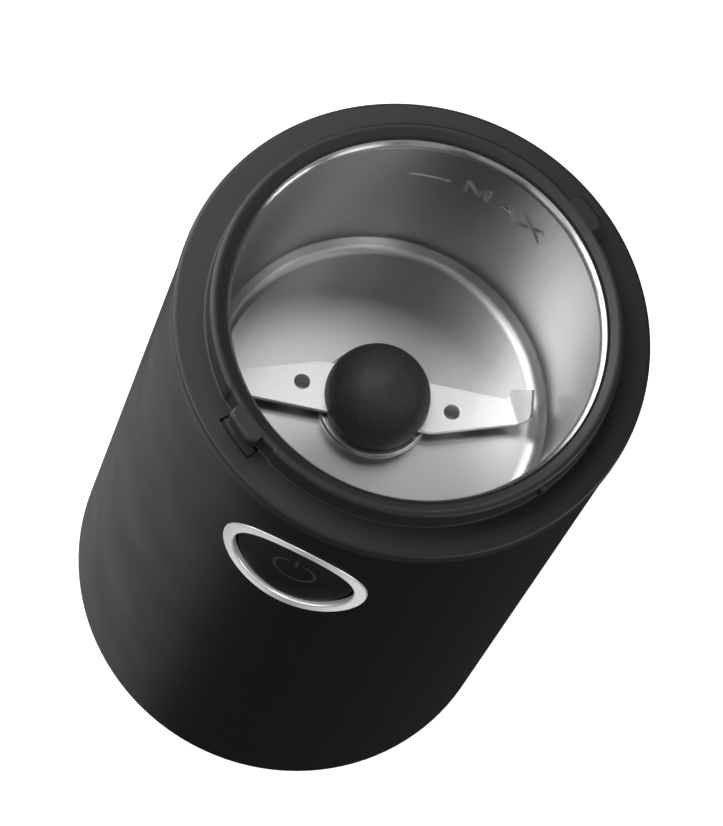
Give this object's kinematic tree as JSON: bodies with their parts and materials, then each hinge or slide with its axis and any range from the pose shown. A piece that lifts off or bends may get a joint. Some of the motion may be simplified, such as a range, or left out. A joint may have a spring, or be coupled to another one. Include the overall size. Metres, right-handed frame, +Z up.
{
  "type": "electric spice grinder",
  "caption": "Upright spice grinder: black round housing with a dished push button, a bayonet neck round a deep steel bowl and a blade with turned-up tips under a domed hub cap.",
  "frame": {"origin": "centre of the footprint, on the surface that the feet stand on", "axes": "+Z up along the blade's shaft, -Y out through the push button, +X to the right as seen from the front"},
  "size_m": [0.092, 0.092, 0.1571],
  "materials": {
    "bezel_chrome": "satin chrome",
    "blade_steel": "bead-blasted, with ground edges",
    "bowl_steel": "brushed in circles",
    "brass_part": "plain brass",
    "button_black": "smooth matte",
    "carbon_block": "pressed carbon",
    "copper_bar": "turned copper",
    "copper_wire": "varnished copper wire",
    "natural_plastic": "plain moulded",
    "rubber_black": "matte",
    "screw_steel": "zinc plated",
    "shaft_steel": "ground",
    "sheet_steel": "plain rolled sheet",
    "smooth_black": "smooth satin",
    "soft_black": "soft-touch matte with a fine grain",
    "switch_black": "plain moulded",
    "switch_red": "plain moulded"
  },
  "bodies": {
    "housing": {"housing_shell": "soft_black", "top_collar": "smooth_black", "bowl_gasket": "rubber_black", "steel_bowl": "bowl_steel", "shaft_seal": "rubber_black", "button_bezel": "bezel_chrome", "base_cover": "smooth_black", "foot_1": "rubber_black", "foot_2": "rubber_black", "foot_3": "rubber_black", "foot_4": "rubber_black", "base_screws": "screw_steel", "collar_screws": "screw_steel", "cord_gland": "rubber_black", "motor_deck": "natural_plastic", "deck_screws": "screw_steel", "motor_bush_1": "rubber_black", "motor_bush_2": "rubber_black", "motor_bush_3": "rubber_black", "motor_bush_4": "rubber_black", "mount_screws": "screw_steel", "upper_bracket": "sheet_steel", "upper_bearing": "brass_part", "stator_core": "sheet_steel", "field_coil_left": "copper_wire", "field_coil_right": "copper_wire", "lower_bracket": "sheet_steel", "lower_bearing": "brass_part", "brush_holder_left": "brass_part", "brush_holder_right": "brass_part", "carbon_brush_left": "carbon_block", "carbon_brush_right": "carbon_block", "brush_spring_left": "screw_steel", "brush_spring_right": "screw_steel", "motor_screws": "screw_steel", "power_switch": "switch_black", "interlock_switch": "switch_black", "interlock_spring": "screw_steel"},
    "rotor": {"motor_shaft": "shaft_steel", "armature_core": "sheet_steel", "armature_windings": "copper_wire", "commutator": "copper_bar", "cooling_fan": "natural_plastic", "blade_carrier": "smooth_black", "blade": "blade_steel", "hub_cap": "smooth_black"},
    "power_button": {"power_button": "button_black"},
    "power_switch_plunger": {"power_switch_plunger": "switch_red"},
    "interlock_plunger": {"interlock_plunger": "smooth_black"},
    "interlock_switch_plunger": {"interlock_switch_plunger": "switch_red"}
  },
  "joints": [
    {"name": "blade_spin", "type": "hinge", "parent": "housing", "child": "rotor", "pos_m": [0, 0, 0.11], "axis": [0, 0, 1], "continuous": true},
    {"name": "button_press", "type": "slide", "parent": "housing", "child": "power_button", "axis": [0, 1, 0], "range_m": [0, 0.002], "stiffness_N_per_m": 900, "springref_m": -0.001},
    {"name": "switch_press", "type": "slide", "parent": "housing", "child": "power_switch_plunger", "axis": [0, 1, 0], "range_m": [0, 0.002]},
    {"name": "interlock_press", "type": "slide", "parent": "housing", "child": "interlock_plunger", "axis": [0, 0, -1], "range_m": [0, 0.002], "stiffness_N_per_m": 300, "springref_m": -0.002, "deforming": ["interlock_spring"]},
    {"name": "interlock_switch_press", "type": "slide", "parent": "housing", "child": "interlock_switch_plunger", "axis": [0, 0, -1], "range_m": [0, 0.002]}
  ],
  "couplings": [
    {"joint": "switch_press", "follows": "button_press", "ratio": 1},
    {"joint": "interlock_switch_press", "follows": "interlock_press", "ratio": 1}
  ]
}
